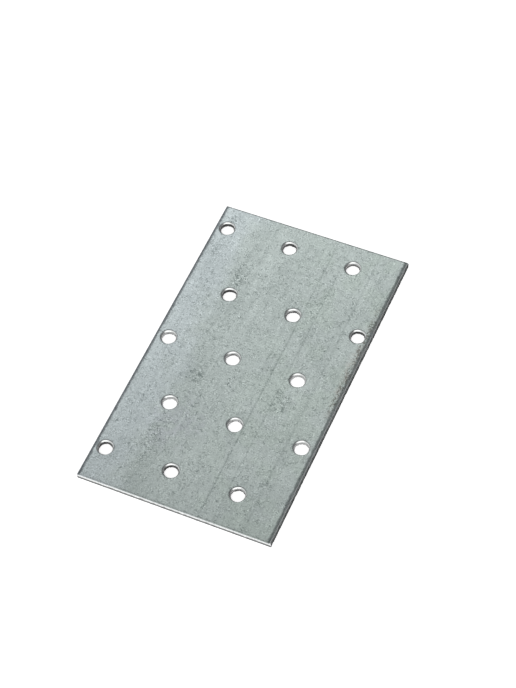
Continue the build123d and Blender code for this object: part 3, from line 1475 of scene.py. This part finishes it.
def plate_finishes() -> dict[Finish, Union[ZincFace, CutSteel]]:
    """The finish of each kind of face. The walls seen at a flat angle are the darker ones."""
    return {
        Finish.ZINC_FACE: ZincFace(),
        # Punched bores: painted light on their lower part
        Finish.PUNCHED_STEEL: CutSteel(
            name="punched_steel", land_tone=grey(0.37, 0.374), land_shade=grey(0.26, 0.263),
            torn_tone=grey(0.05), torn_light=grey(0.14), painted_foot_shading=grey(1.35), foot_height=1.2,
        ),
        # Sheared ends: painted shade near the underside
        Finish.SHEARED_STEEL: CutSteel(
            name="sheared_steel", land_tone=grey(0.78, 0.79), land_shade=grey(0.60, 0.61),
            torn_tone=grey(0.2, 0.203), torn_light=grey(0.34, 0.345), painted_foot_shading=grey(0.38),
            foot_height=0.7,
        ),
        Finish.SLIT_STEEL: CutSteel(
            name="slit_steel", land_tone=(0.06, 0.06, 0.062, 1.0), land_shade=grey(0.02),
            torn_tone=grey(0.02), torn_light=grey(0.05), land_roughness=0.45,
            grazing_tone=grey(0.27),
        ),
    }


# Studio

def direction(azimuth: float, elevation: float) -> Vector:
    """The unit vector to an azimuth, counted from +Y towards +X, and an elevation, in degrees."""
    turn, rise = math.radians(azimuth), math.radians(elevation)
    level = math.cos(rise)
    return Vector((math.sin(turn) * level, math.cos(turn) * level, math.sin(rise)))


@dataclass(frozen=True)
class Studio:
    """Pale floor, one large soft lamp behind the plate to the left, and a dim even surround."""

    floor_half: float = 3.0
    floor_drop: float = 0.00002
    floor_tone: Colour = (0.86, 0.86, 0.86, 1.0)
    floor_glow: float = 0.78
    light_side: Colour = (0.72, 0.725, 0.73, 1.0)
    dim_side: Colour = (0.17, 0.172, 0.175, 1.0)
    dim_toward: Triple = (0.45, 0.6, 0.65)
    dim_range: Range = (-0.25, 0.65)
    window: Colour = (1.3, 1.3, 1.3, 1.0)
    window_toward: Triple = (0.43, -0.8, 0.42)
    window_range: Range = (0.6, 0.9)
    lamp_size: tuple[float, float] = (0.44, 0.44)
    lamp_distance: float = 0.75
    lamp_azimuth: float = -27.0
    lamp_elevation: float = 50.0
    lamp_power: float = 0.89
    lamp_tone: Triple = (0.97, 1.0, 1.0)

    def add_floor(self) -> bpy.types.Object:
        """Lays the floor: a broad sheet just under the plate that also glows to eye and metal.

        Returns:
            The floor.
        """
        half = self.floor_half
        mesh = bpy.data.meshes.new("floor")
        flat = [(-half, -half), (half, -half), (half, half), (-half, half)]
        mesh.from_pydata([(x, y, -self.floor_drop) for x, y in flat], [], [(0, 1, 2, 3)])
        floor = link(bpy.data.objects.new("floor", mesh))
        made = blank_material("floor_paper")
        wire = Wiring(made.node_tree)
        path = wire.node("ShaderNodeLightPath", {}).outputs
        seen = wire.math("MAXIMUM", path["Is Camera Ray"], path["Is Glossy Ray"])
        seen = wire.math("MAXIMUM", seen, path["Is Transmission Ray"])
        glow = wire.node("ShaderNodeEmission", {
            "Color": grey(1.0), "Strength": wire.math("MULTIPLY", seen, self.floor_glow),
        })
        paper = wire.node("ShaderNodeBsdfDiffuse", {"Color": self.floor_tone})
        both = wire.node("ShaderNodeAddShader", {0: glow.outputs[0], 1: paper.outputs[0]})
        below = wire.node("ShaderNodeNewGeometry", {}).outputs["Backfacing"]
        clear = wire.node("ShaderNodeBsdfTransparent", {})
        sided = wire.node("ShaderNodeMixShader", {
            0: below, 1: both.outputs[0], 2: clear.outputs[0],
        })
        wire.node("ShaderNodeOutputMaterial", {"Surface": sided.outputs[0]})
        mesh.materials.append(made)
        return floor

    def add_world(self) -> bpy.types.World:
        """Sets the surround: dim towards one side, bright in front. Returns the world."""
        world = bpy.data.worlds.new("surround")
        world.use_nodes = True
        world.node_tree.nodes.clear()
        wire = Wiring(world.node_tree)
        way = wire.node("ShaderNodeTexCoord", {}).outputs["Generated"]
        dim = wire.fade(wire.vector("DOT_PRODUCT", way, self.dim_toward), *self.dim_range)
        tone = wire.blend(dim, self.light_side, self.dim_side)
        front = wire.vector("DOT_PRODUCT", way, self.window_toward)
        tone = wire.blend(wire.fade(front, *self.window_range), tone, self.window)
        ground = wire.node("ShaderNodeBackground", {"Color": tone})
        wire.node("ShaderNodeOutputWorld", {"Surface": ground.outputs[0]})
        bpy.context.scene.world = world
        return world

    def add_lamp(self) -> bpy.types.Object:
        """Hangs the soft lamp where the top face mirrors it to the camera. Returns it."""
        lamp = bpy.data.lights.new("soft_lamp", "AREA")
        lamp.shape = "RECTANGLE"
        lamp.size, lamp.size_y = self.lamp_size
        lamp.energy = self.lamp_power
        lamp.color = self.lamp_tone
        lamp_object = link(bpy.data.objects.new("soft_lamp", lamp))
        toward = direction(self.lamp_azimuth, self.lamp_elevation)
        lamp_object.location = toward * self.lamp_distance
        lamp_object.rotation_euler = toward.to_track_quat("Z", "Y").to_euler()
        return lamp_object


@dataclass(frozen=True)
class Viewpoint:
    """The camera's place: what it aims at, from where, and its lens."""

    aim: Triple = (-0.000844, 0.008985, 0.0)
    distance: float = 0.587628
    azimuth: float = 28.1482
    elevation: float = 55.3866
    roll: float = -5.2917
    lens: float = 107.98
    sensor: float = 36.0

    def add_camera(self) -> bpy.types.Object:
        """Sets the camera up. The roll turns it about its own line of sight. Returns it."""
        roll = math.radians(self.roll)
        back = direction(180.0 - self.azimuth, self.elevation)
        level = Vector((0.0, 0.0, 1.0)).cross(back).normalized()
        upright = back.cross(level)
        right = math.cos(roll) * level + math.sin(roll) * upright
        up = -math.sin(roll) * level + math.cos(roll) * upright
        data = bpy.data.cameras.new("viewpoint")
        data.lens, data.sensor_width = self.lens, self.sensor
        camera = link(bpy.data.objects.new("viewpoint", data))
        turn = Matrix((right, up, back)).transposed()
        place = Vector(self.aim) + back * self.distance
        camera.matrix_world = Matrix.Translation(place) @ turn.to_4x4()
        bpy.context.scene.camera = camera
        return camera


def main() -> None:
    """Builds the camera, the sheet with its finishes, and the studio, and reports each."""
    logging.basicConfig(level=logging.INFO, format="%(name)s: %(message)s")
    Viewpoint().add_camera()
    sheet = PerforatedSheet()
    piece = sheet.build()
    effects = SharedEffects()
    finishes = plate_finishes()
    for kind in Finish:
        piece.data.materials.append(finishes[kind].material(effects))
    LOG.info("%s: %d points, %d faces, stands for %s", piece.name, len(piece.data.vertices),
             len(piece.data.polygons), sheet.node)
    studio = Studio()
    for made in (studio.add_floor(), studio.add_world(), studio.add_lamp()):
        LOG.info("studio: %s", made.name)
    bpy.context.scene.view_settings.view_transform = "Standard"


if __name__ == "__main__":
    main()
